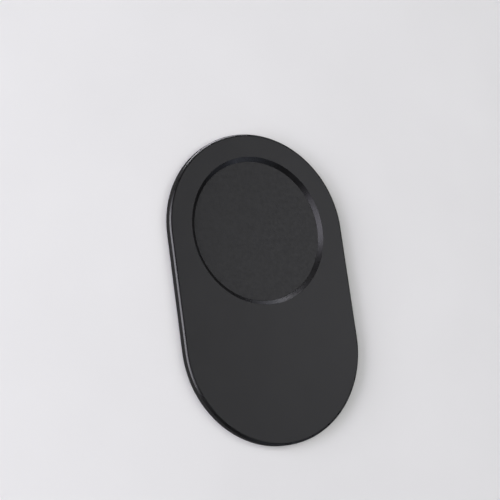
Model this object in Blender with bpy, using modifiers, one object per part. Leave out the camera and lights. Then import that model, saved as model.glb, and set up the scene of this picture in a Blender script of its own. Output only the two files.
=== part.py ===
"""Magnetic phone grip mount.

A pill-shaped plate that holds on to the back of a phone by a ring of magnets, with a flat dock disc in a
flared round recess. It lies on its back pad, face up. X is its width, Y its length and Z its thickness.
"""

import math

import bmesh
import bpy

MM = 0.001

# Driving dimensions: the magnet ring, which sets the size of the dock inside it and of the plate round it
RING_MEAN_DIAMETER = 50.8 * MM
RING_MAGNET_COUNT = 18
MAGNET_WIDTH = 4.0 * MM
MAGNET_THICKNESS = 1.0 * MM
MAGNET_SPACING = 0.4 * MM
MAGNET_CLEARANCE = 0.15 * MM

# Driving dimensions: the plate
OUTER_WALL = 1.95 * MM
FRONT_WALL = 0.5 * MM
TAIL_LENGTH = 34.1 * MM
FACE_CHAMFER = 0.5 * MM
FOOT_CHAMFER = 0.15 * MM

# Driving dimensions: the dock, whose disc fills the foot of the flare but for a hairline
SKIRT_WALL = 0.8 * MM
RECESS_FLARE = 1.25 * MM
DISC_CLEARANCE = 0.1 * MM
DISC_THICKNESS = 0.6 * MM
DISC_EDGE_CHAMFER = 0.05 * MM
TAPE_THICKNESS = 0.25 * MM
TAPE_INSET = 1.0 * MM

# Driving dimensions: the back
COVER_LIP = 0.9 * MM
COVER_THICKNESS = 0.45 * MM
COVER_CLEARANCE = 0.15 * MM
PAD_THICKNESS = 0.4 * MM
PAD_INSET = 0.8 * MM
PAD_EDGE_ROUND = 0.12 * MM

# Driving dimensions: the alignment magnets in the tail
ALIGNMENT_WIDTH = 6.0 * MM
ALIGNMENT_LENGTH = 9.0 * MM
ALIGNMENT_SPACING = 0.4 * MM
ALIGNMENT_DISTANCE = 4.0 * MM
YOKE_THICKNESS = 0.3 * MM

# Driving dimensions: ribs, and pins in their bosses
RIB_THICKNESS = 0.8 * MM
RIB_PITCH = 7.6 * MM
BOSS_DIAMETER = 3.2 * MM
BOSS_TO_WALL = 0.9 * MM
LOWER_BOSS_ANGLE = math.radians(38.0)
PIN_DIAMETER = 1.2 * MM
PIN_CLEARANCE = 0.15 * MM
PIN_CHAMFER = 0.15 * MM

# Clearance between faces that lie on each other, thin because the whole plate is only about 3 mm thick
FACE_GAP = 0.1 * MM

# Round shapes: straight steps in a full turn of the outline, of a pin, and in one ring magnet's arc
ROUND_STEPS = 112
PIN_STEPS = 20
MAGNET_ARC_STEPS = 5

# How far a cutter runs past the faces that it opens
OVERSHOOT = 1.0 * MM

# Levels, from the foot of the pad up to the face
PAD_TOP = PAD_THICKNESS
HOUSING_FOOT = PAD_TOP + FACE_GAP
COVER_TOP = HOUSING_FOOT + COVER_THICKNESS
INNER_FLOOR = COVER_TOP + FACE_GAP
MAGNET_TOP = INNER_FLOOR + MAGNET_THICKNESS
YOKE_FOOT = MAGNET_TOP + FACE_GAP
YOKE_TOP = YOKE_FOOT + YOKE_THICKNESS
CEILING = YOKE_TOP + FACE_GAP
FACE = CEILING + FRONT_WALL
TAPE_TOP = INNER_FLOOR + TAPE_THICKNESS
DISC_FOOT = TAPE_TOP + FACE_GAP
DISC_TOP = DISC_FOOT + DISC_THICKNESS

# Radii about the dock's centre, from the magnet ring inwards and outwards
MAGNET_INNER = (RING_MEAN_DIAMETER - MAGNET_WIDTH) / 2
MAGNET_OUTER = (RING_MEAN_DIAMETER + MAGNET_WIDTH) / 2
CHANNEL_INNER = MAGNET_INNER - MAGNET_CLEARANCE
CHANNEL_OUTER = MAGNET_OUTER + MAGNET_CLEARANCE
RECESS_RIM = CHANNEL_INNER - SKIRT_WALL
RECESS_FOOT = RECESS_RIM - RECESS_FLARE
DISC_RADIUS = RECESS_FOOT - DISC_CLEARANCE
PLATE_RADIUS = CHANNEL_OUTER + OUTER_WALL
REBATE_RADIUS = PLATE_RADIUS - COVER_LIP
RING_WALL_RADIUS = CHANNEL_OUTER + RIB_THICKNESS

# Centres of the plate's two round ends
DOCK_Y = TAIL_LENGTH / 2
TAIL_Y = -TAIL_LENGTH / 2

# The alignment magnets, below the ring
ALIGNMENT_TOP_Y = DOCK_Y - CHANNEL_OUTER - ALIGNMENT_DISTANCE
ALIGNMENT_FOOT_Y = ALIGNMENT_TOP_Y - 2 * ALIGNMENT_LENGTH - ALIGNMENT_SPACING

# name: (sRGB colour, roughness, metallic)
FINISHES = {
    "moulded_black": ((0.106, 0.106, 0.107), 0.45, 0.0),
    "coated_disc": ((0.103, 0.103, 0.104), 0.45, 0.0),
    "moulded_back": ((0.103, 0.103, 0.104), 0.42, 0.0),
    "grip_pad": ((0.093, 0.093, 0.095), 0.75, 0.0),
    "tape": ((0.73, 0.72, 0.68), 0.4, 0.0),
    "nickel": ((0.79, 0.78, 0.76), 0.22, 1.0),
    "zinc_steel": ((0.7, 0.71, 0.72), 0.35, 1.0),
}


def clear_scene():
    for obj in list(bpy.data.objects):
        bpy.data.objects.remove(obj, do_unlink=True)


def new_collection(name):
    collection = bpy.data.collections.new(name)
    bpy.context.scene.collection.children.link(collection)
    return collection


def linear(channel):
    return channel / 12.92 if channel <= 0.04045 else ((channel + 0.055) / 1.055) ** 2.4


def finish(obj, name):
    """Gives the object its material, made the first time that it is asked for."""
    material = bpy.data.materials.get(name)
    if material is None:
        colour, roughness, metallic = FINISHES[name]
        material = bpy.data.materials.new(name)
        material.use_nodes = True
        shader = material.node_tree.nodes["Principled BSDF"]
        shader.inputs["Base Color"].default_value = (*map(linear, colour), 1.0)
        shader.inputs["Roughness"].default_value = roughness
        shader.inputs["Metallic"].default_value = metallic
    obj.data.materials.append(material)


def smooth(obj):
    """Shades the round faces smooth and keeps the edges crisp."""
    obj.data.shade_smooth()
    obj.data.set_sharp_from_angle(angle=math.radians(30.0))


def as_cutter(obj):
    obj.hide_render = True
    obj.display_type = "WIRE"
    return obj


def arc(centre_x, centre_y, radius, start, end, steps):
    """Points along an arc, both ends included."""
    angles = [start + (end - start) * step / steps for step in range(steps + 1)]
    return [(centre_x + radius * math.cos(a), centre_y + radius * math.sin(a)) for a in angles]


def pill_outline(radius):
    """The plate's outline at this radius: two half turns joined by the straight sides."""
    half_turn = ROUND_STEPS // 2
    upper = arc(0.0, DOCK_Y, radius, 0.0, math.pi, half_turn)
    lower = arc(0.0, TAIL_Y, radius, math.pi, 2 * math.pi, half_turn)
    return upper + lower


def prism(name, outline, foot, top, collection):
    """A flat outline with a thickness, from a filled curve that is then made a closed mesh."""
    curve = bpy.data.curves.new(name + "_outline", "CURVE")
    curve.dimensions = "2D"
    curve.fill_mode = "BOTH"
    curve.extrude = (top - foot) / 2
    spline = curve.splines.new("POLY")
    spline.points.add(len(outline) - 1)
    for point, (x, y) in zip(spline.points, outline):
        point.co = (x, y, 0.0, 1.0)
    spline.use_cyclic_u = True
    guide = bpy.data.objects.new(name + "_outline", curve)
    collection.objects.link(guide)
    guide.location.z = (top + foot) / 2
    bpy.context.view_layer.update()
    graph = bpy.context.evaluated_depsgraph_get()
    mesh = bpy.data.meshes.new_from_object(guide.evaluated_get(graph))
    mesh.name = name
    work = bmesh.new()
    work.from_mesh(mesh)
    bmesh.ops.remove_doubles(work, verts=work.verts, dist=1e-6)
    bmesh.ops.recalc_face_normals(work, faces=work.faces)
    work.to_mesh(mesh)
    work.free()
    obj = bpy.data.objects.new(name, mesh)
    obj.matrix_world = guide.matrix_world.copy()
    collection.objects.link(obj)
    bpy.data.objects.remove(guide, do_unlink=True)
    return obj


def turned(name, profile, closed, collection):
    """A turned piece about the dock's centre, from (radius, height) points that run down its outer side."""
    mesh = bpy.data.meshes.new(name)
    edges = [(i, i + 1) for i in range(len(profile) - 1)]
    if closed:
        edges.append((len(profile) - 1, 0))
    mesh.from_pydata([(radius, 0.0, height) for radius, height in profile], edges, [])
    obj = bpy.data.objects.new(name, mesh)
    obj.location = (0.0, DOCK_Y, 0.0)
    collection.objects.link(obj)
    screw = obj.modifiers.new("Turn", "SCREW")
    screw.steps = ROUND_STEPS
    screw.render_steps = ROUND_STEPS
    screw.use_merge_vertices = True
    screw.merge_threshold = 1e-6
    screw.use_smooth_shade = False
    return obj


def turned_ring(name, inner, outer, foot, top, collection):
    return turned(name, [(outer, top), (outer, foot), (inner, foot), (inner, top)], True, collection)


def turned_disc(name, radius, foot, top, chamfer, collection):
    profile = [
        (0.0, top),
        (radius - chamfer, top),
        (radius, top - chamfer),
        (radius, foot),
        (0.0, foot),
    ]
    return turned(name, profile, False, collection)


def box(name, low_x, high_x, low_y, high_y, foot, top, collection):
    """A block between these limits, its origin at its middle and its size in its mesh."""
    mesh = bpy.data.meshes.new(name)
    work = bmesh.new()
    bmesh.ops.create_cube(work, size=1.0)
    bmesh.ops.scale(work, vec=(high_x - low_x, high_y - low_y, top - foot), verts=work.verts)
    work.to_mesh(mesh)
    work.free()
    obj = bpy.data.objects.new(name, mesh)
    obj.location = ((low_x + high_x) / 2, (low_y + high_y) / 2, (foot + top) / 2)
    collection.objects.link(obj)
    return obj


def rod(name, place, radius, foot, top, collection):
    """An upright round rod at (x, y)."""
    mesh = bpy.data.meshes.new(name)
    work = bmesh.new()
    bmesh.ops.create_cone(
        work,
        cap_ends=True,
        segments=PIN_STEPS,
        radius1=radius,
        radius2=radius,
        depth=top - foot,
    )
    work.to_mesh(mesh)
    work.free()
    obj = bpy.data.objects.new(name, mesh)
    obj.location = (place[0], place[1], (foot + top) / 2)
    collection.objects.link(obj)
    return obj


def boolean(obj, other, operation):
    modifier = obj.modifiers.new(f"{operation.title()} {other.name}", "BOOLEAN")
    modifier.operation = operation
    modifier.solver = "EXACT"
    modifier.object = as_cutter(other)


def chamfer_rim(obj, height, width):
    """Bevels the outline's edge that lies at this height above the pad's foot."""
    weights = obj.data.attributes.get("bevel_weight_edge")
    if weights is None:
        weights = obj.data.attributes.new("bevel_weight_edge", "FLOAT", "EDGE")
    vertices = obj.data.vertices
    sides = {}
    for polygon in obj.data.polygons:
        for key in polygon.edge_keys:
            sides.setdefault(key, []).append(abs(polygon.normal.z) > 0.5)
    tolerance = 0.01 * MM
    for edge in obj.data.edges:
        at_height = all(
            abs(vertices[i].co.z + obj.location.z - height) < tolerance for i in edge.vertices
        )
        is_rim = len(set(sides[edge.key])) == 2
        weights.data[edge.index].value = 1.0 if at_height and is_rim else 0.0
    bevel = obj.modifiers.new("Chamfer", "BEVEL")
    bevel.limit_method = "WEIGHT"
    bevel.width = width
    bevel.segments = 1
    bevel.use_clamp_overlap = False


def apply_modifiers(obj):
    """Makes the evaluated shape the object's own mesh."""
    bpy.context.view_layer.update()
    graph = bpy.context.evaluated_depsgraph_get()
    mesh = bpy.data.meshes.new_from_object(obj.evaluated_get(graph))
    obj.modifiers.clear()
    obj.data = mesh


def boss_places():
    """Centres of the pin bosses: two low in the round tail, two between the ring and the straight sides."""
    reach = CHANNEL_OUTER - BOSS_TO_WALL - BOSS_DIAMETER / 2
    low_x = reach * math.cos(LOWER_BOSS_ANGLE)
    low_y = TAIL_Y - reach * math.sin(LOWER_BOSS_ANGLE)
    from_dock = RING_WALL_RADIUS + BOSS_DIAMETER / 2
    high_y = DOCK_Y - math.sqrt(from_dock**2 - reach**2)
    return [(side * x, y) for x, y in ((low_x, low_y), (reach, high_y)) for side in (-1, 1)]


def rib_blocks(collection):
    """The tail's crossed ribs, as blocks that the cavity is kept clear of."""
    foot = HOUSING_FOOT - 2 * OVERSHOOT
    top = FACE + OVERSHOOT
    reach = PLATE_RADIUS
    half = RIB_THICKNESS / 2
    first_x = ALIGNMENT_WIDTH / 2 + MAGNET_CLEARANCE + half
    first_y = ALIGNMENT_FOOT_Y - MAGNET_CLEARANCE - half
    ribs = []
    for side in (-1, 1):
        x = first_x
        while x < CHANNEL_OUTER - RIB_PITCH / 2:
            at = side * x
            low_y = TAIL_Y - reach
            ribs.append(box("rib", at - half, at + half, low_y, DOCK_Y, foot, top, collection))
            x += RIB_PITCH
    y = first_y - RIB_PITCH
    while y < DOCK_Y - CHANNEL_OUTER / 2:
        if y > TAIL_Y - CHANNEL_OUTER + RIB_PITCH / 2:
            ribs.append(box("rib", -reach, reach, y - half, y + half, foot, top, collection))
        y += RIB_PITCH
    return ribs


def tail_cavity(collection):
    """The tail's inner space, clear of the outer and ring walls, the ribs, the pocket and the bosses."""
    foot = HOUSING_FOOT - OVERSHOOT
    clear_foot = foot - OVERSHOOT
    clear_top = CEILING + OVERSHOOT
    cavity = prism("tail_cavity", pill_outline(CHANNEL_OUTER), foot, CEILING, collection)
    ring_wall = turned_disc("ring_wall", RING_WALL_RADIUS, clear_foot, clear_top, 0.0, collection)
    upper_end = box(
        "upper_end",
        -PLATE_RADIUS,
        PLATE_RADIUS,
        DOCK_Y,
        DOCK_Y + 2 * PLATE_RADIUS,
        clear_foot,
        clear_top,
        collection,
    )
    wall = MAGNET_CLEARANCE + RIB_THICKNESS
    pocket_walls = box(
        "pocket_walls",
        -ALIGNMENT_WIDTH / 2 - wall,
        ALIGNMENT_WIDTH / 2 + wall,
        ALIGNMENT_FOOT_Y - wall,
        ALIGNMENT_TOP_Y + wall,
        clear_foot,
        clear_top,
        collection,
    )
    bosses = [
        rod("boss", place, BOSS_DIAMETER / 2, clear_foot, clear_top, collection)
        for place in boss_places()
    ]
    for solid in (ring_wall, upper_end, pocket_walls, *rib_blocks(collection), *bosses):
        boolean(cavity, solid, "DIFFERENCE")
    return cavity


def alignment_pocket(collection):
    return box(
        "alignment_pocket",
        -ALIGNMENT_WIDTH / 2 - MAGNET_CLEARANCE,
        ALIGNMENT_WIDTH / 2 + MAGNET_CLEARANCE,
        ALIGNMENT_FOOT_Y - MAGNET_CLEARANCE,
        ALIGNMENT_TOP_Y + MAGNET_CLEARANCE,
        HOUSING_FOOT - OVERSHOOT,
        CEILING,
        collection,
    )


def dock_opening(collection):
    """The round opening: flared from the disc's level up to the face, straight below it."""
    above = FACE + OVERSHOOT
    below = HOUSING_FOOT - OVERSHOOT
    flare_slope = RECESS_FLARE / (FACE - DISC_TOP)
    profile = [
        (0.0, above),
        (RECESS_RIM + flare_slope * OVERSHOOT, above),
        (RECESS_FOOT, DISC_TOP),
        (RECESS_FOOT, below),
        (0.0, below),
    ]
    return turned("dock_opening", profile, False, collection)


def front_housing(parts, cutters):
    """The moulded plate, cut from behind for all that it holds."""
    housing = prism("front_housing", pill_outline(PLATE_RADIUS), HOUSING_FOOT, FACE, parts)
    chamfer_rim(housing, FACE, FACE_CHAMFER)
    apply_modifiers(housing)
    chamfer_rim(housing, HOUSING_FOOT, FOOT_CHAMFER)
    apply_modifiers(housing)
    below = HOUSING_FOOT - OVERSHOOT
    rebate = prism("cover_rebate", pill_outline(REBATE_RADIUS), below, INNER_FLOOR, cutters)
    channel = turned_ring("magnet_channel", CHANNEL_INNER, CHANNEL_OUTER, below, CEILING, cutters)
    boolean(housing, rebate, "DIFFERENCE")
    boolean(housing, channel, "DIFFERENCE")
    boolean(housing, tail_cavity(cutters), "DIFFERENCE")
    boolean(housing, alignment_pocket(cutters), "DIFFERENCE")
    boolean(housing, dock_opening(cutters), "DIFFERENCE")
    for place in boss_places():
        hole_radius = PIN_DIAMETER / 2 + PIN_CLEARANCE
        boolean(housing, rod("pin_hole", place, hole_radius, below, CEILING, cutters), "DIFFERENCE")
    smooth(housing)
    finish(housing, "moulded_black")


def dock_disc(parts):
    disc = turned_disc("dock_disc", DISC_RADIUS, DISC_FOOT, DISC_TOP, DISC_EDGE_CHAMFER, parts)
    finish(disc, "coated_disc")


def disc_tape(parts):
    tape = turned_disc(
        "disc_tape", DISC_RADIUS - TAPE_INSET, INNER_FLOOR, TAPE_TOP, 0.0, parts
    )
    finish(tape, "tape")


def back_cover(parts, cutters):
    """The thin plate behind the magnets, with a pin for each boss."""
    outline = pill_outline(REBATE_RADIUS - COVER_CLEARANCE)
    cover = prism("back_cover", outline, HOUSING_FOOT, COVER_TOP, parts)
    root = (HOUSING_FOOT + COVER_TOP) / 2
    for place in boss_places():
        pin = rod("cover_pin", place, PIN_DIAMETER / 2, root, CEILING - PIN_CLEARANCE, cutters)
        chamfer_rim(pin, CEILING - PIN_CLEARANCE, PIN_CHAMFER)
        boolean(cover, pin, "UNION")
    smooth(cover)
    finish(cover, "moulded_back")


def back_pad(parts):
    pad = prism("back_pad", pill_outline(PLATE_RADIUS - PAD_INSET), 0.0, PAD_TOP, parts)
    chamfer_rim(pad, 0.0, PAD_EDGE_ROUND)
    smooth(pad)
    finish(pad, "grip_pad")


def ring_magnets(parts):
    """Equal arc magnets all round the ring, each turned about the dock's centre."""
    turn = 2 * math.pi / RING_MAGNET_COUNT
    half = turn / 2 - MAGNET_SPACING / RING_MEAN_DIAMETER
    outer = arc(0.0, 0.0, MAGNET_OUTER, -half, half, MAGNET_ARC_STEPS)
    inner = arc(0.0, 0.0, MAGNET_INNER, half, -half, MAGNET_ARC_STEPS)
    shape = None
    for index in range(RING_MAGNET_COUNT):
        name = f"ring_magnet_{index + 1:02d}"
        if shape is None:
            magnet = prism(name, outer + inner, INNER_FLOOR, MAGNET_TOP, parts)
            shape = magnet.data
            height = magnet.location.z
            finish(magnet, "nickel")
        else:
            magnet = bpy.data.objects.new(name, shape)
            parts.objects.link(magnet)
        magnet.location = (0.0, DOCK_Y, height)
        magnet.rotation_euler.z = turn * (index + 0.5)


def ring_yoke(parts):
    yoke = turned_ring("ring_yoke", MAGNET_INNER, MAGNET_OUTER, YOKE_FOOT, YOKE_TOP, parts)
    finish(yoke, "zinc_steel")


def alignment_magnets(parts):
    """Two bar magnets, one above the other, under one steel plate."""
    half_width = ALIGNMENT_WIDTH / 2
    rows = (
        ("alignment_magnet_upper", ALIGNMENT_TOP_Y - ALIGNMENT_LENGTH),
        ("alignment_magnet_lower", ALIGNMENT_FOOT_Y),
    )
    for name, low_y in rows:
        high_y = low_y + ALIGNMENT_LENGTH
        magnet = box(name, -half_width, half_width, low_y, high_y, INNER_FLOOR, MAGNET_TOP, parts)
        finish(magnet, "nickel")
    yoke = box(
        "alignment_yoke",
        -half_width,
        half_width,
        ALIGNMENT_FOOT_Y,
        ALIGNMENT_TOP_Y,
        YOKE_FOOT,
        YOKE_TOP,
        parts,
    )
    finish(yoke, "zinc_steel")


def main():
    clear_scene()
    parts = new_collection("magnetic_phone_grip_mount")
    cutters = new_collection("cutters")
    front_housing(parts, cutters)
    dock_disc(parts)
    disc_tape(parts)
    back_cover(parts, cutters)
    back_pad(parts)
    ring_magnets(parts)
    ring_yoke(parts)
    alignment_magnets(parts)


main()
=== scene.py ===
"""Looks of the magnetic phone grip mount.

Finely eased pieces stand for the faceted solids, each with the finish of the real material.
The plate lies on its back pad on a pale floor. Two softboxes at its left, two low ones behind
it, two at its tail and one at its right give its edges their glints, and one overhead lights the
floor.
"""

import math

import bmesh
import bpy
from mathutils import Matrix, Vector


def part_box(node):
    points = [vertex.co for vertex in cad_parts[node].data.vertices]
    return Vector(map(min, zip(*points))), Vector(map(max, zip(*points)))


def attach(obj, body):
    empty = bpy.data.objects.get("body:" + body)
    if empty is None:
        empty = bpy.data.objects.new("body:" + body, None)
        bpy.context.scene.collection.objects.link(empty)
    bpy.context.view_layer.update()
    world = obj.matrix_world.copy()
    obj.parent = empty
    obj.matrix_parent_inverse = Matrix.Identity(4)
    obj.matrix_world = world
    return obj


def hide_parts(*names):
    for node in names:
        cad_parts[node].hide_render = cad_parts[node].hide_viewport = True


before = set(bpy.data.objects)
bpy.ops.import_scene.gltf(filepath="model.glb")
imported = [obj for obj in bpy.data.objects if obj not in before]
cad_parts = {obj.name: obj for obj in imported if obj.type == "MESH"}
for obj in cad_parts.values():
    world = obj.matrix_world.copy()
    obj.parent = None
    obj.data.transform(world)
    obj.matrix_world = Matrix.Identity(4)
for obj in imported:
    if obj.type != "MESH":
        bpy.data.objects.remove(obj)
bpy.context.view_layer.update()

MM = 0.001


def half_width(node):
    low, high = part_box(node)
    return (high.x - low.x) / 2


def levels(node):
    low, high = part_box(node)
    return low.z, high.z


# Sizes read from the frame
PLATE_RADIUS = half_width("front_housing")
COVER_RADIUS = half_width("back_cover")
PAD_RADIUS = half_width("back_pad")
DISC_RADIUS = half_width("dock_disc")
TAPE_RADIUS = half_width("disc_tape")
MAGNET_OUTER = half_width("ring_yoke")
HOUSING_FOOT, FACE = levels("front_housing")
COVER_FOOT, PIN_TOP = levels("back_cover")
PAD_FOOT, PAD_TOP = levels("back_pad")
DISC_FOOT, DISC_TOP = levels("dock_disc")
TAPE_FOOT, TAPE_TOP = levels("disc_tape")
MAGNET_FOOT, MAGNET_TOP = levels("ring_magnet_01")
YOKE_FOOT, YOKE_TOP = levels("ring_yoke")
YOKE_LOW, YOKE_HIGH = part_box("alignment_yoke")
HOUSING_LOW, HOUSING_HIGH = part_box("front_housing")
DOCK_Y = HOUSING_HIGH.y - PLATE_RADIUS
TAIL_Y = HOUSING_LOW.y + PLATE_RADIUS

# Sizes that the part's source gives and the frame's boxes don't
FACE_GAP = 0.1 * MM
COVER_THICKNESS = 0.45 * MM
COVER_CLEARANCE = 0.15 * MM
MAGNET_WIDTH = 4.0 * MM
MAGNET_CLEARANCE = 0.15 * MM
MAGNET_COUNT = 18
MAGNET_SPACING = 0.4 * MM
RECESS_FLARE = 1.25 * MM
DISC_CLEARANCE = 0.1 * MM
RIB_THICKNESS = 0.8 * MM
RIB_PITCH = 7.6 * MM
BOSS_DIAMETER = 3.2 * MM
BOSS_TO_WALL = 0.9 * MM
LOWER_BOSS_ANGLE = math.radians(38.0)
PIN_DIAMETER = 1.2 * MM
PIN_CLEARANCE = 0.15 * MM

# Chamfers and the small rounds that take the sharpness off each edge
FACE_CHAMFER = 0.5 * MM
FOOT_CHAMFER = 0.15 * MM
FACE_ROUND = 0.26 * MM
EDGE_ROUND = 0.07 * MM
RIM_ROUND = 0.08 * MM
DISC_EDGE = 0.05 * MM
PAD_EDGE = 0.15 * MM
COVER_EDGE = 0.08 * MM
MAGNET_EDGE = 0.12 * MM
SHEET_EDGE = 0.05 * MM
TAPE_EDGE = 0.03 * MM

# How close the disc's edge comes to the opening: no gap shows round the real one
DISC_FIT = 0.02 * MM

# How far a cutter reaches past what it cuts
OVERSHOOT = 1.0 * MM

# Radii and levels worked out from those
MAGNET_INNER = MAGNET_OUTER - MAGNET_WIDTH
CHANNEL_INNER = MAGNET_INNER - MAGNET_CLEARANCE
CHANNEL_OUTER = MAGNET_OUTER + MAGNET_CLEARANCE
RECESS_FOOT = DISC_RADIUS + DISC_CLEARANCE
RECESS_RIM = RECESS_FOOT + RECESS_FLARE
DISC_SHOWN = RECESS_FOOT - DISC_FIT
RING_WALL_RADIUS = CHANNEL_OUTER + RIB_THICKNESS
REBATE_RADIUS = COVER_RADIUS + COVER_CLEARANCE
COVER_TOP = COVER_FOOT + COVER_THICKNESS
CEILING = YOKE_TOP + FACE_GAP

# Straight steps in a full turn of the plate, of a pin, of a ring magnet's arc and of the round at
# the recess's rim
ROUND_STEPS = 256
PIN_STEPS = 40
MAGNET_STEPS = 16
RIM_STEPS = 4

# How near an edge lies to the height that is asked for, and how near two points are one
LEVEL_SLACK = 0.01 * MM
DOUBLE_BELOW = 0.0005 * MM
MIRROR_MERGE = 0.001 * MM

# Turns between two faces: one flat face, shaded smooth, a piece's rim, a magnet's corner
FLAT_BELOW = math.radians(0.01)
SMOOTH_BELOW = math.radians(30.0)
RIM_ABOVE = math.radians(20.0)
CORNER_ABOVE = math.radians(30.0)

# The housing's faces whose tilt from level lies between these, in degrees, are the smoother ones,
# and their colour is painted darker as shade
PLAIN_AND_SHADED_TILTS = (10.0, 80.0)

# Most of a noise's values lie between these
NOISE_LOW = 0.3
NOISE_HIGH = 0.7

ABS_IOR = 1.54

# The floor, and how far it lies below the pad, so that the two don't share a level
FLOOR_SIZE = 6.0
FLOOR_DROP = 0.01 * MM

# The camera, fitted to the plate's outline and its recess
CAMERA_PLACE = Vector((-191.83, -46.39, 313.85)) * MM
CAMERA_AIM = Vector((-2.40, 11.67, 0.0)) * MM
CAMERA_ROLL = math.radians(67.60)
CAMERA_LENS = 90.0
CAMERA_SENSOR = 36.0
CAMERA_CLIP = 0.01

# The lamps' casts
LILAC = (1.0, 0.98, 1.06)
VIOLET = (1.0, 0.97, 1.12)
COOL = (1.0, 1.0, 1.05)
ICE = (1.0, 1.02, 1.16)
BLUE = (0.9, 0.97, 1.2)
WARM = (1.0, 1.0, 0.94)

# The lamps: name, azimuth, elevation, distance, width, height, brightness, cast and roll, with
# lengths in metres and angles in degrees
LAMPS = (
    ("left_softbox", 176.8, 18.3, 1.2, 1.22, 0.66, 5.9, LILAC, -6.0),
    ("left_top_strip", 166.5, 43.6, 1.2, 1.53, 0.28, 2.6, VIOLET, 31.0),
    ("back_strip", 88.0, 2.7, 1.2, 0.84, 0.09, 27.0, LILAC, 3.0),
    ("back_panel", 60.5, 4.5, 1.2, 0.66, 0.12, 2.0, ICE, 0.0),
    ("tail_panel", -62.5, 16.2, 1.2, 1.14, 0.28, 0.93, BLUE, -13.0),
    ("tail_corner", -27.0, 3.5, 1.2, 0.50, 0.20, 0.29, BLUE, 0.0),
    ("right_panel", 10.9, 50.1, 1.2, 0.79, 0.79, 1.33, COOL, 20.0),
)
OVERHEAD = ("overhead_fill", 0.0, 89.0, 1.6, 1.60, 1.60, 1.00, WARM, 0.0)

# The room's greys: below the horizon from -X to +X, with the middle one's place, and above it
SIDE_SPAN = (-0.45, 0.6)
SIDE_NEAR = 0.19
SIDE_MIDDLE = 0.12
SIDE_MIDDLE_PLACE = 0.43
SIDE_FAR = 0.03
ROOM_ABOVE = (0.02, 0.02, 0.021, 1.0)
HORIZON_BLUR = 0.05

# A Mix node's colour sockets, by number, because its other kinds have sockets of the same names
MIX_FIRST = 6
MIX_SECOND = 7
MIX_RESULT = 2


# Picking and editing


def deselect():
    bpy.ops.object.select_all(action="DESELECT")


def pick(kind, test):
    """Selects only those faces, edges or vertices of the open piece that pass the test."""
    mesh = bpy.context.object.data
    bpy.ops.mesh.select_mode(type=kind)
    bpy.ops.mesh.select_all(action="DESELECT")
    shape = bmesh.from_edit_mesh(mesh)
    elements = {"VERT": shape.verts, "EDGE": shape.edges, "FACE": shape.faces}[kind]
    for element in elements:
        if test(element):
            element.select_set(True)
    bmesh.update_edit_mesh(mesh)


def edge_at(height):
    """A test for edges whose two ends lie at this height."""
    return lambda edge: all(abs(vertex.co.z - height) < LEVEL_SLACK for vertex in edge.verts)


def rim_at(height):
    """A test for the edges at this height between a level face and a steeper one."""
    level = edge_at(height)
    return lambda edge: level(edge) and edge.calc_face_angle(0.0) > RIM_ABOVE


def open_piece(name):
    """Names the primitive just added, puts its place in its mesh, and opens it for editing."""
    piece = bpy.context.object
    piece.name = name
    piece.data.name = name
    bpy.ops.object.transform_apply(location=True, rotation=True, scale=True)
    bpy.ops.object.mode_set(mode="EDIT")
    bpy.ops.mesh.select_all(action="DESELECT")
    return piece


def close_piece(piece):
    """Merges doubles, turns every face outwards and leaves edit mode."""
    bpy.ops.mesh.select_mode(type="VERT")
    bpy.ops.mesh.select_all(action="SELECT")
    bpy.ops.mesh.remove_doubles(threshold=DOUBLE_BELOW)
    bpy.ops.mesh.normals_make_consistent(inside=False)
    bpy.ops.object.mode_set(mode="OBJECT")
    return piece


def edit(piece):
    deselect()
    piece.select_set(True)
    bpy.context.view_layer.objects.active = piece
    bpy.ops.object.mode_set(mode="EDIT")
    bpy.ops.mesh.select_all(action="DESELECT")


def ease(piece, test, width, segments=3):
    """Bevels the edges that pass the test."""
    edit(piece)
    pick("EDGE", test)
    bpy.ops.mesh.bevel(offset=width, segments=segments, profile=0.5, clamp_overlap=True)
    bpy.ops.object.mode_set(mode="OBJECT")


def extrude_up(rise, centre_y, scale):
    """Extrudes what is selected straight up, then scales it about the line at centre_y."""
    bpy.ops.mesh.extrude_region_move(TRANSFORM_OT_translate={"value": (0.0, 0.0, rise)})
    bpy.ops.transform.resize(value=(scale, scale, 1.0), center_override=(0.0, centre_y, 0.0))


def cut(piece, cutter, operation="DIFFERENCE"):
    """Cuts the piece by the other one, or joins them, and throws the other one away."""
    deselect()
    piece.select_set(True)
    bpy.context.view_layer.objects.active = piece
    modifier = piece.modifiers.new("Cut", "BOOLEAN")
    modifier.operation = operation
    modifier.solver = "EXACT"
    modifier.object = cutter
    bpy.ops.object.modifier_apply(modifier=modifier.name)
    bpy.data.objects.remove(cutter, do_unlink=True)


def smooth(piece):
    """Shades round faces smooth, keeps edges crisp, and lets flat faces rule their rims."""
    deselect()
    piece.select_set(True)
    bpy.context.view_layer.objects.active = piece
    bpy.ops.object.shade_smooth_by_angle(angle=SMOOTH_BELOW)
    modifier = piece.modifiers.new("Flat faces rule", "WEIGHTED_NORMAL")
    modifier.keep_sharp = True
    bpy.ops.object.modifier_apply(modifier=modifier.name)


# Basic bodies, each the start of a piece


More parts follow.
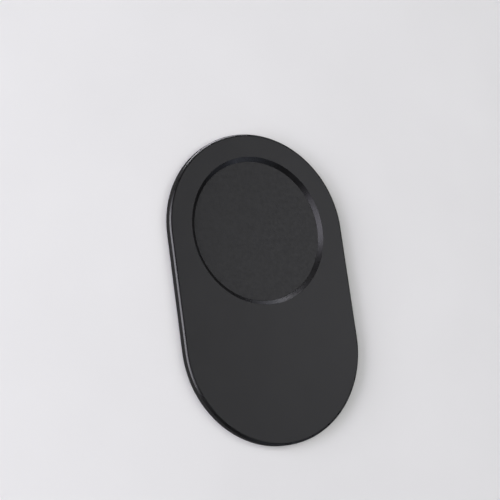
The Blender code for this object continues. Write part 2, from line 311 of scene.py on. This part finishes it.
def pill(name, radius, foot, top):
    """A pill-shaped block: half a disc, drawn out along its flat side and mirrored."""
    deselect()
    bpy.ops.mesh.primitive_cylinder_add(
        vertices=ROUND_STEPS,
        radius=radius,
        depth=top - foot,
        location=(0.0, DOCK_Y, (foot + top) / 2),
    )
    piece = open_piece(name)
    bpy.ops.mesh.select_all(action="SELECT")
    bpy.ops.mesh.bisect(
        plane_co=(0.0, DOCK_Y, 0.0),
        plane_no=(0.0, 1.0, 0.0),
        clear_inner=True,
    )
    pick("EDGE", lambda edge: edge.is_boundary)
    middle_y = (DOCK_Y + TAIL_Y) / 2
    bpy.ops.mesh.extrude_region_move(
        TRANSFORM_OT_translate={"value": (0.0, middle_y - DOCK_Y, 0.0)}
    )
    bpy.ops.object.mode_set(mode="OBJECT")
    mirror = piece.modifiers.new("Tail end", "MIRROR")
    mirror.use_axis = (False, True, False)
    mirror.merge_threshold = MIRROR_MERGE
    bpy.ops.object.modifier_apply(modifier=mirror.name)
    bpy.ops.object.mode_set(mode="EDIT")
    pick("EDGE", lambda edge: edge.calc_face_angle(1.0) < FLAT_BELOW)
    bpy.ops.mesh.dissolve_edges(use_verts=False)
    pick("VERT", lambda vertex: len(vertex.link_edges) == 2)
    bpy.ops.mesh.dissolve_verts()
    return close_piece(piece)


def turned(name, stations, centre_y=DOCK_Y, steps=ROUND_STEPS, centre_x=0.0):
    """A turned body: a filled circle, drawn up and scaled through each (radius, height)."""
    (radius, foot), *rest = stations
    deselect()
    bpy.ops.mesh.primitive_circle_add(
        vertices=steps,
        radius=radius,
        fill_type="NGON",
        location=(0.0, centre_y, foot),
    )
    piece = open_piece(name)
    bpy.ops.mesh.select_all(action="SELECT")
    for next_radius, height in rest:
        extrude_up(height - foot, centre_y, next_radius / radius)
        radius, foot = next_radius, height
    close_piece(piece)
    if centre_x:
        piece.location.x = centre_x
        bpy.ops.object.transform_apply(location=True)
    return piece


def tube(name, inner, outer, foot, top):
    """A ring of rectangular section: a filled circle, inset, its middle deleted, and drawn up."""
    deselect()
    bpy.ops.mesh.primitive_circle_add(
        vertices=ROUND_STEPS,
        radius=outer,
        fill_type="NGON",
        location=(0.0, DOCK_Y, foot),
    )
    piece = open_piece(name)
    bpy.ops.mesh.select_all(action="SELECT")
    bpy.ops.mesh.inset(thickness=outer - inner)
    bpy.ops.mesh.delete(type="FACE")
    bpy.ops.mesh.select_all(action="SELECT")
    bpy.ops.mesh.extrude_region_move(
        TRANSFORM_OT_translate={"value": (0.0, 0.0, top - foot)}
    )
    return close_piece(piece)


def block(name, low, high):
    """A block between two corners."""
    low, high = Vector(low), Vector(high)
    deselect()
    bpy.ops.mesh.primitive_cube_add(size=1.0, location=(low + high) / 2, scale=high - low)
    return close_piece(open_piece(name))


def rod(name, place, radius, foot, top):
    """An upright round rod at (x, y)."""
    return turned(name, [(radius, foot), (radius, top)], place[1], PIN_STEPS, place[0])


# The moulded housing and what it is cut for


def boss_places():
    """Centres of the pin bosses: two low in the tail, two between the ring and the sides."""
    reach = CHANNEL_OUTER - BOSS_TO_WALL - BOSS_DIAMETER / 2
    low_x = reach * math.cos(LOWER_BOSS_ANGLE)
    low_y = TAIL_Y - reach * math.sin(LOWER_BOSS_ANGLE)
    high_y = DOCK_Y - math.sqrt((RING_WALL_RADIUS + BOSS_DIAMETER / 2) ** 2 - reach**2)
    return [(side * x, y) for x, y in ((low_x, low_y), (reach, high_y)) for side in (-1, 1)]


def ribs(foot, top):
    """The tail's crossed ribs, as blocks that the cavity is kept clear of."""
    reach = PLATE_RADIUS
    half = RIB_THICKNESS / 2
    x = YOKE_HIGH.x + MAGNET_CLEARANCE + half
    while x < CHANNEL_OUTER - RIB_PITCH / 2:
        for at in (-x, x):
            yield block("rib", (at - half, TAIL_Y - reach, foot), (at + half, DOCK_Y, top))
        x += RIB_PITCH
    y = YOKE_LOW.y - MAGNET_CLEARANCE - half - RIB_PITCH
    while y < DOCK_Y - CHANNEL_OUTER / 2:
        if y > TAIL_Y - CHANNEL_OUTER + RIB_PITCH / 2:
            yield block("rib", (-reach, y - half, foot), (reach, y + half, top))
        y += RIB_PITCH


def tail_cavity():
    """The tail's space, between its outer wall, the ring's wall, the ribs, pocket and bosses."""
    foot = HOUSING_FOOT - OVERSHOOT
    clear_foot = foot - OVERSHOOT
    clear_top = CEILING + OVERSHOOT
    cavity = pill("tail_cavity", CHANNEL_OUTER, foot, CEILING)
    ring_wall = [(RING_WALL_RADIUS, clear_foot), (RING_WALL_RADIUS, clear_top)]
    cut(cavity, turned("ring_wall", ring_wall))
    upper_low = (-PLATE_RADIUS, DOCK_Y, clear_foot)
    upper_high = (PLATE_RADIUS, DOCK_Y + 2 * PLATE_RADIUS, clear_top)
    cut(cavity, block("upper_end", upper_low, upper_high))
    wall = MAGNET_CLEARANCE + RIB_THICKNESS
    walls_low = (YOKE_LOW.x - wall, YOKE_LOW.y - wall, clear_foot)
    walls_high = (YOKE_HIGH.x + wall, YOKE_HIGH.y + wall, clear_top)
    cut(cavity, block("pocket_walls", walls_low, walls_high))
    for place in boss_places():
        cut(cavity, rod("boss", place, BOSS_DIAMETER / 2, clear_foot, clear_top))
    for rib in ribs(clear_foot, clear_top):
        cut(cavity, rib)
    return cavity


def dock_opening():
    """The round opening: straight beside the disc, flared above it, rounded over at the face."""
    flare_angle = math.atan2(FACE - DISC_TOP, RECESS_FLARE)
    stations = [(RECESS_FOOT, HOUSING_FOOT - OVERSHOOT), (RECESS_FOOT, DISC_TOP)]
    tangent = RIM_ROUND * math.tan(flare_angle / 2)
    for step in range(RIM_STEPS + 1):
        turn = flare_angle * (1 - step / RIM_STEPS)
        radius = RECESS_RIM + tangent - RIM_ROUND * math.sin(turn)
        height = FACE - RIM_ROUND * (1 - math.cos(turn))
        stations.append((radius, height))
    stations.append((RECESS_RIM + tangent, FACE + OVERSHOOT))
    return turned("dock_opening", stations)


def housing_shell():
    """The moulded plate: its rims are chamfered and eased first, then it is cut from behind."""
    shell = pill("housing_shell", PLATE_RADIUS, HOUSING_FOOT, FACE)
    ease(shell, rim_at(FACE), FACE_CHAMFER, segments=1)
    ease(shell, rim_at(HOUSING_FOOT), FOOT_CHAMFER, segments=2)
    ease(shell, rim_at(FACE), FACE_ROUND, segments=5)
    ease(shell, rim_at(FACE - FACE_CHAMFER), EDGE_ROUND)
    below = HOUSING_FOOT - OVERSHOOT
    cut(shell, pill("cover_rebate", REBATE_RADIUS, below, MAGNET_FOOT))
    cut(shell, tube("magnet_channel", CHANNEL_INNER, CHANNEL_OUTER, below, CEILING))
    cut(shell, tail_cavity())
    room = Vector((MAGNET_CLEARANCE, MAGNET_CLEARANCE, 0.0))
    pocket_low = YOKE_LOW - room
    pocket_high = YOKE_HIGH + room
    pocket_low.z = below
    pocket_high.z = CEILING
    cut(shell, block("alignment_pocket", pocket_low, pocket_high))
    cut(shell, dock_opening())
    hole_radius = PIN_DIAMETER / 2 + PIN_CLEARANCE
    for place in boss_places():
        cut(shell, rod("pin_hole", place, hole_radius, below, CEILING))
    smooth(shell)
    return shell


def dock_plate():
    """The flat steel disc, both its edges eased."""
    plate = turned("dock_plate", [(DISC_SHOWN, DISC_FOOT), (DISC_SHOWN, DISC_TOP)])
    ease(plate, rim_at(DISC_TOP), DISC_EDGE)
    ease(plate, rim_at(DISC_FOOT), SHEET_EDGE, segments=2)
    smooth(plate)
    return plate


def tape_disc():
    """The double-sided tape under the disc, its cut edge hardly eased."""
    tape = turned("tape_disc", [(TAPE_RADIUS, TAPE_FOOT), (TAPE_RADIUS, TAPE_TOP)])
    ease(tape, rim_at(TAPE_TOP), TAPE_EDGE, segments=2)
    smooth(tape)
    return tape


def cover_plate():
    """The thin plate that closes the back, with a pin for each boss."""
    cover = pill("cover_plate", COVER_RADIUS, COVER_FOOT, COVER_TOP)
    ease(cover, rim_at(COVER_FOOT), COVER_EDGE, segments=2)
    ease(cover, rim_at(COVER_TOP), COVER_EDGE, segments=2)
    root = (COVER_FOOT + COVER_TOP) / 2
    for place in boss_places():
        pin = rod("cover_pin", place, PIN_DIAMETER / 2, root, PIN_TOP)
        ease(pin, rim_at(PIN_TOP), COVER_EDGE, segments=2)
        cut(cover, pin, "UNION")
    smooth(cover)
    return cover


def grip_pad():
    """The silicone pad, rounded along its foot."""
    pad = pill("grip_pad", PAD_RADIUS, PAD_FOOT, PAD_TOP)
    ease(pad, rim_at(PAD_FOOT), PAD_EDGE, segments=4)
    ease(pad, rim_at(PAD_TOP), SHEET_EDGE, segments=2)
    smooth(pad)
    return pad


def yoke_ring():
    """The thin steel ring over the magnets."""
    ring = tube("yoke_ring", MAGNET_INNER, MAGNET_OUTER, YOKE_FOOT, YOKE_TOP)
    ease(ring, rim_at(YOKE_FOOT), SHEET_EDGE, segments=2)
    ease(ring, rim_at(YOKE_TOP), SHEET_EDGE, segments=2)
    smooth(ring)
    return ring


def bar(name, low, high, edge):
    """A bar with every edge eased."""
    piece = block(name, low, high)
    ease(piece, lambda any_edge: True, edge)
    smooth(piece)
    return piece


def arc_magnet():
    """The ring's first arc magnet: its upright section, spun clockwise round the dock."""
    turn = 2 * math.pi / MAGNET_COUNT
    mean_radius = (MAGNET_OUTER + MAGNET_INNER) / 2
    half = turn / 2 - MAGNET_SPACING / (2 * mean_radius)
    start = turn / 2 + half
    deselect()
    bpy.ops.mesh.primitive_plane_add(
        size=1.0,
        location=(
            mean_radius * math.cos(start),
            DOCK_Y + mean_radius * math.sin(start),
            (MAGNET_FOOT + MAGNET_TOP) / 2,
        ),
        rotation=(math.pi / 2, 0.0, start),
    )
    bpy.context.object.scale = (MAGNET_WIDTH, MAGNET_TOP - MAGNET_FOOT, 1.0)
    magnet = open_piece("arc_magnet_01")
    bpy.ops.mesh.select_all(action="SELECT")
    bpy.ops.mesh.spin(
        steps=MAGNET_STEPS,
        angle=2 * half,
        center=(0.0, DOCK_Y, 0.0),
        axis=(0.0, 0.0, 1.0),
    )
    close_piece(magnet)
    ease(magnet, lambda edge: edge.calc_face_angle(0.0) > CORNER_ABOVE, MAGNET_EDGE)
    smooth(magnet)
    return magnet


def moved_copy(piece, name, move):
    """A copy with its own mesh, moved or turned by a matrix."""
    deselect()
    piece.select_set(True)
    bpy.context.view_layer.objects.active = piece
    bpy.ops.object.duplicate()
    copy = bpy.context.object
    copy.name = name
    copy.data.name = name
    copy.matrix_world = move
    bpy.ops.object.transform_apply(location=True, rotation=True, scale=True)
    return copy


# Finishes


def linear(hex_colour):
    """An sRGB hex colour as linear RGB by the sRGB curve, with full alpha."""
    channels = [int(hex_colour[at : at + 2], 16) / 255 for at in (0, 2, 4)]
    lit = [c / 12.92 if c <= 0.04045 else ((c + 0.055) / 1.055) ** 2.4 for c in channels]
    return lit + [1.0]


def add(tree, kind, settings=None, inputs=None):
    """Adds a node with its settings. Each input takes a value, or the output that feeds it."""
    node = tree.nodes.new(kind)
    for name, value in (settings or {}).items():
        setattr(node, name, value)
    for name, value in (inputs or {}).items():
        if isinstance(value, bpy.types.NodeSocket):
            tree.links.new(value, node.inputs[name])
        else:
            node.inputs[name].default_value = value
    return node


def shade(name, inputs):
    """A new material with these values on its shader: returns it, its tree and the shader."""
    material = bpy.data.materials.new(name)
    material.use_nodes = True
    tree = material.node_tree
    shader = tree.nodes["Principled BSDF"]
    for socket, value in inputs.items():
        shader.inputs[socket].default_value = value
    return material, tree, shader


def feed(tree, shader, **outputs):
    """Links outputs to the shader's sockets, named with _ for a space."""
    for socket, output in outputs.items():
        tree.links.new(output, shader.inputs[socket.replace("_", " ")])


def grain(tree, size, detail=2.0, stretch=(1.0, 1.0, 1.0)):
    """Noise whose features are about this size, read in the piece's own space."""
    place = add(tree, "ShaderNodeTexCoord").outputs["Object"]
    if stretch != (1.0, 1.0, 1.0):
        place = add(tree, "ShaderNodeMapping", inputs={"Vector": place, "Scale": stretch})
        place = place.outputs["Vector"]
    noise = add(
        tree,
        "ShaderNodeTexNoise",
        inputs={"Vector": place, "Scale": 1.0 / size, "Detail": detail, "Roughness": 0.5},
    )
    return noise.outputs["Fac"]


def between(tree, factor, dark, light):
    """A colour between two hex colours by the factor."""
    ramp = add(tree, "ShaderNodeValToRGB", inputs={"Fac": factor})
    low, high = ramp.color_ramp.elements
    low.position, high.position = NOISE_LOW, NOISE_HIGH
    low.color, high.color = linear(dark), linear(light)
    return ramp.outputs["Color"]


def spread(tree, factor, low, high):
    """The factor's middle range as a value between low and high."""
    value = add(
        tree,
        "ShaderNodeMapRange",
        inputs={
            "Value": factor,
            "From Min": NOISE_LOW,
            "From Max": NOISE_HIGH,
            "To Min": low,
            "To Max": high,
        },
    )
    return value.outputs["Result"]


def relief(tree, height, depth, under=None):
    """Bump of a real depth, on top of another bump if one is given."""
    inputs = {"Height": height, "Distance": depth}
    if under is not None:
        inputs["Normal"] = under
    return add(tree, "ShaderNodeBump", inputs=inputs).outputs["Normal"]


def spark_eroded_abs():
    """Black ABS moulded against a spark-eroded steel face: an even, fine matte that only sparkles
    close up. Its real grit of about 0.06 mm is drawn at 0.25 mm, because it is too fine to show."""
    material, tree, shader = shade("moulded_abs_spark_eroded", {"IOR": ABS_IOR})
    grit = grain(tree, 0.25 * MM, detail=3.0)
    cloud = grain(tree, 9.0 * MM, detail=1.0)
    feed(
        tree,
        shader,
        Base_Color=between(tree, cloud, "151515", "181818"),
        Roughness=spread(tree, grit, 0.40, 0.48),
        Normal=relief(tree, grit, 0.004 * MM),
    )
    return material


def plain_moulded_abs_painted_shade():
    """The same ABS against polished steel, on the chamfers and the flare: smoother, so it catches
    the light.
    Its colour is painted darker than the face's, as painted shade on these slopes."""
    material, tree, shader = shade("moulded_abs_plain_painted_shade", {"IOR": ABS_IOR})
    flow = grain(tree, 2.5 * MM)
    feed(
        tree,
        shader,
        # Painted shade: darker than the face's colour, though the ABS is the same
        Base_Color=between(tree, flow, "111111", "131313"),
        Roughness=spread(tree, flow, 0.26, 0.31),
        Normal=relief(tree, flow, 0.002 * MM),
    )
    return material


def moulded_abs_back():
    """The cover's ABS, with the faint flow marks of a thin moulding."""
    material, tree, shader = shade("moulded_abs_cover", {"IOR": ABS_IOR})
    flow = grain(tree, 3.0 * MM, detail=3.0, stretch=(1.0, 0.2, 1.0))
    grit = grain(tree, 0.3 * MM)
    feed(
        tree,
        shader,
        Base_Color=between(tree, flow, "19191A", "1D1D1E"),
        Roughness=spread(tree, flow, 0.36, 0.46),
        Normal=relief(tree, grit, 0.002 * MM),
    )
    return material


def powder_coated_steel():
    """Steel sheet under a thin matte black powder coat, with a soft orange peel about a millimetre
    across and a fine grit in it, so that it looks a little softer than the moulding."""
    material, tree, shader = shade("powder_coated_steel", {"IOR": 1.52})
    peel = grain(tree, 1.1 * MM, detail=1.0)
    grit = grain(tree, 0.28 * MM)
    feed(
        tree,
        shader,
        Base_Color=between(tree, grit, "1A1A1A", "1D1D1D"),
        Roughness=spread(tree, peel, 0.42, 0.50),
        Normal=relief(tree, grit, 0.003 * MM, under=relief(tree, peel, 0.004 * MM)),
    )
    return material


def silicone():
    """Black silicone rubber with a fine satin tooth: very matt, with a soft bloom seen aslant."""
    material, tree, shader = shade(
        "silicone_rubber", {"IOR": 1.41, "Sheen Weight": 0.08, "Sheen Roughness": 0.5}
    )
    tooth = grain(tree, 0.35 * MM)
    bloom = grain(tree, 6.0 * MM)
    feed(
        tree,
        shader,
        Base_Color=between(tree, bloom, "161617", "1A1A1B"),
        Roughness=spread(tree, tooth, 0.66, 0.78),
        Normal=relief(tree, tooth, 0.006 * MM),
    )
    return material


def acrylic_tape():
    """Double-sided acrylic tape: a milky film with a slightly uneven layer of adhesive."""
    material, tree, shader = shade("acrylic_tape", {"IOR": 1.47, "Transmission Weight": 0.25})
    smear = grain(tree, 4.0 * MM, detail=3.0)
    feed(
        tree,
        shader,
        Base_Color=between(tree, smear, "CFCABB", "DAD6C9"),
        Roughness=spread(tree, smear, 0.30, 0.45),
        Normal=relief(tree, smear, 0.01 * MM),
    )
    return material


def nickel_plating():
    """Bright nickel over a sintered magnet: a warm grey mirror, dulled a little by the grain."""
    material, tree, shader = shade("nickel_plating", {"Metallic": 1.0})
    sinter = grain(tree, 0.4 * MM, detail=3.0)
    haze = grain(tree, 2.5 * MM)
    feed(
        tree,
        shader,
        Base_Color=between(tree, haze, "BDB7AD", "C6C1B8"),
        Roughness=spread(tree, haze, 0.16, 0.26),
        Normal=relief(tree, sinter, 0.003 * MM),
    )
    return material


def zinc_plated_steel():
    """Cold-rolled steel sheet with thin zinc plating: bluish grey, with faint rolling lines."""
    material, tree, shader = shade("zinc_plated_steel", {"Metallic": 1.0})
    lines = grain(tree, 0.3 * MM, stretch=(1.0, 0.03, 1.0))
    cloud = grain(tree, 5.0 * MM)
    feed(
        tree,
        shader,
        Base_Color=between(tree, cloud, "AEB2B8", "B9BDC2"),
        Roughness=spread(tree, lines, 0.28, 0.42),
        Normal=relief(tree, lines, 0.002 * MM),
    )
    return material


def studio_paper():
    """The pale floor: matt seamless paper with the faintest mottle."""
    material, tree, shader = shade("seamless_paper", {"Roughness": 0.9, "Specular IOR Level": 0.2})
    mottle = grain(tree, 40.0 * MM)
    feed(tree, shader, Base_Color=between(tree, mottle, "F5F5F3", "F8F8F6"))
    return material


# Putting the object together


def show(piece, materials, slot, *nodes):
    """Gives the piece its materials, and puts it in place of the nodes that it stands for."""
    piece.data.materials.clear()
    for material in materials:
        piece.data.materials.append(material)
    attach(piece, "root")
    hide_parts(*nodes)


def plain_and_shaded_slopes(piece):
    """Gives the second material, smoother and painted darker as shade, to the chamfers and the
    flare, by the tilt of their faces.
    """
    low_tilt, high_tilt = PLAIN_AND_SHADED_TILTS
    for polygon in piece.data.polygons:
        tilt = math.degrees(math.acos(max(-1.0, min(1.0, polygon.normal.z))))
        polygon.material_index = 1 if low_tilt < tilt < high_tilt else 0


def build_object():
    nickel = nickel_plating()
    zinc = zinc_plated_steel()
    housing = housing_shell()
    moulded = [spark_eroded_abs(), plain_moulded_abs_painted_shade()]
    show(housing, moulded, "housing_plastic", "front_housing")
    plain_and_shaded_slopes(housing)
    show(dock_plate(), [powder_coated_steel()], "disc_coating", "dock_disc")
    show(tape_disc(), [acrylic_tape()], "tape_film", "disc_tape")
    show(cover_plate(), [moulded_abs_back()], "cover_plastic", "back_cover")
    show(grip_pad(), [silicone()], "pad_silicone", "back_pad")
    show(yoke_ring(), [zinc], "yoke_steel", "ring_yoke")
    yoke = bar("yoke_plate", *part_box("alignment_yoke"), SHEET_EDGE)
    show(yoke, [zinc], "yoke_steel", "alignment_yoke")
    low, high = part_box("alignment_magnet_upper")
    upper = bar("bar_magnet_upper", low, high, MAGNET_EDGE)
    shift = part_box("alignment_magnet_lower")[0] - low
    lower = moved_copy(upper, "bar_magnet_lower", Matrix.Translation(shift))
    show(upper, [nickel], "magnet_plating", "alignment_magnet_upper")
    show(lower, [nickel], "magnet_plating", "alignment_magnet_lower")
    arcs = [arc_magnet()]
    to_dock = Matrix.Translation((0.0, DOCK_Y, 0.0))
    for number in range(1, MAGNET_COUNT):
        turn = Matrix.Rotation(2 * math.pi * number / MAGNET_COUNT, 4, "Z")
        move = to_dock @ turn @ to_dock.inverted()
        arcs.append(moved_copy(arcs[0], f"arc_magnet_{number + 1:02d}", move))
    for number, magnet in enumerate(arcs, 1):
        show(magnet, [nickel], "magnet_plating", f"ring_magnet_{number:02d}")


# The studio


def floor():
    """A wide, level, pale floor just under the pad. The plate doesn't mirror it."""
    deselect()
    bpy.ops.mesh.primitive_plane_add(size=FLOOR_SIZE, location=(0.0, 0.0, -FLOOR_DROP))
    piece = open_piece("floor")
    close_piece(piece)
    piece.data.materials.append(studio_paper())
    piece.visible_glossy = False


def softbox(name, azimuth, elevation, distance, width, height, brightness, cast, roll):
    """An area light that faces the object. Azimuth runs from +X towards +Y, brightness is its
    face's own, and roll lifts the end at its larger azimuth."""
    turn = math.radians(azimuth)
    rise = math.radians(elevation)
    away = Vector(
        (math.cos(turn) * math.cos(rise), math.sin(turn) * math.cos(rise), math.sin(rise))
    )
    deselect()
    bpy.ops.object.light_add(type="AREA", location=away * distance)
    light = bpy.context.object
    light.name = name
    facing = away.to_track_quat("Z", "Y").to_matrix()
    light.rotation_euler = (facing @ Matrix.Rotation(math.radians(roll), 3, "Z")).to_euler()
    light.data.shape = "RECTANGLE"
    light.data.size = width
    light.data.size_y = height
    light.data.energy = brightness * math.pi * width * height
    light.data.color = cast
    light.visible_camera = False
    return light


def surround():
    """The room: dim above, and below the horizon the grey that the plate's sides mirror."""
    world = bpy.data.worlds.new("room")
    bpy.context.scene.world = world
    world.use_nodes = True
    tree = world.node_tree
    way = add(tree, "ShaderNodeTexCoord").outputs["Generated"]
    parts = add(tree, "ShaderNodeSeparateXYZ", inputs={"Vector": way})
    left, right = SIDE_SPAN
    across = add(
        tree,
        "ShaderNodeMapRange",
        inputs={"Value": parts.outputs["X"], "From Min": left, "From Max": right},
    )
    below = add(tree, "ShaderNodeValToRGB", inputs={"Fac": across.outputs["Result"]})
    near, far = below.color_ramp.elements
    near.color = (SIDE_NEAR, SIDE_NEAR, SIDE_NEAR, 1.0)
    far.color = (SIDE_FAR, SIDE_FAR, SIDE_FAR, 1.0)
    middle = below.color_ramp.elements.new(SIDE_MIDDLE_PLACE)
    middle.color = (SIDE_MIDDLE, SIDE_MIDDLE, SIDE_MIDDLE, 1.0)
    upwards = add(
        tree,
        "ShaderNodeMapRange",
        inputs={
            "Value": parts.outputs["Z"],
            "From Min": -HORIZON_BLUR,
            "From Max": HORIZON_BLUR,
        },
    )
    mix = add(
        tree,
        "ShaderNodeMix",
        {"data_type": "RGBA"},
        {"Factor": upwards.outputs["Result"]},
    )
    tree.links.new(below.outputs["Color"], mix.inputs[MIX_FIRST])
    mix.inputs[MIX_SECOND].default_value = ROOM_ABOVE
    tree.links.new(mix.outputs[MIX_RESULT], tree.nodes["Background"].inputs["Color"])


def studio():
    floor()
    surround()
    for lamp in LAMPS:
        softbox(*lamp)
    # The overhead only lights the floor: the plate doesn't mirror it
    overhead = softbox(*OVERHEAD)
    overhead.visible_glossy = False
    bpy.context.scene.view_settings.view_transform = "Standard"


def camera():
    deselect()
    bpy.ops.object.camera_add(location=CAMERA_PLACE)
    shot = bpy.context.object
    shot.name = "camera"
    look = (CAMERA_AIM - CAMERA_PLACE).to_track_quat("-Z", "Y").to_matrix().to_4x4()
    roll = Matrix.Rotation(CAMERA_ROLL, 4, "Z")
    shot.matrix_world = Matrix.Translation(CAMERA_PLACE) @ look @ roll
    shot.data.sensor_width = CAMERA_SENSOR
    shot.data.lens = CAMERA_LENS
    shot.data.clip_start = CAMERA_CLIP
    bpy.context.scene.camera = shot


build_object()
studio()
camera()
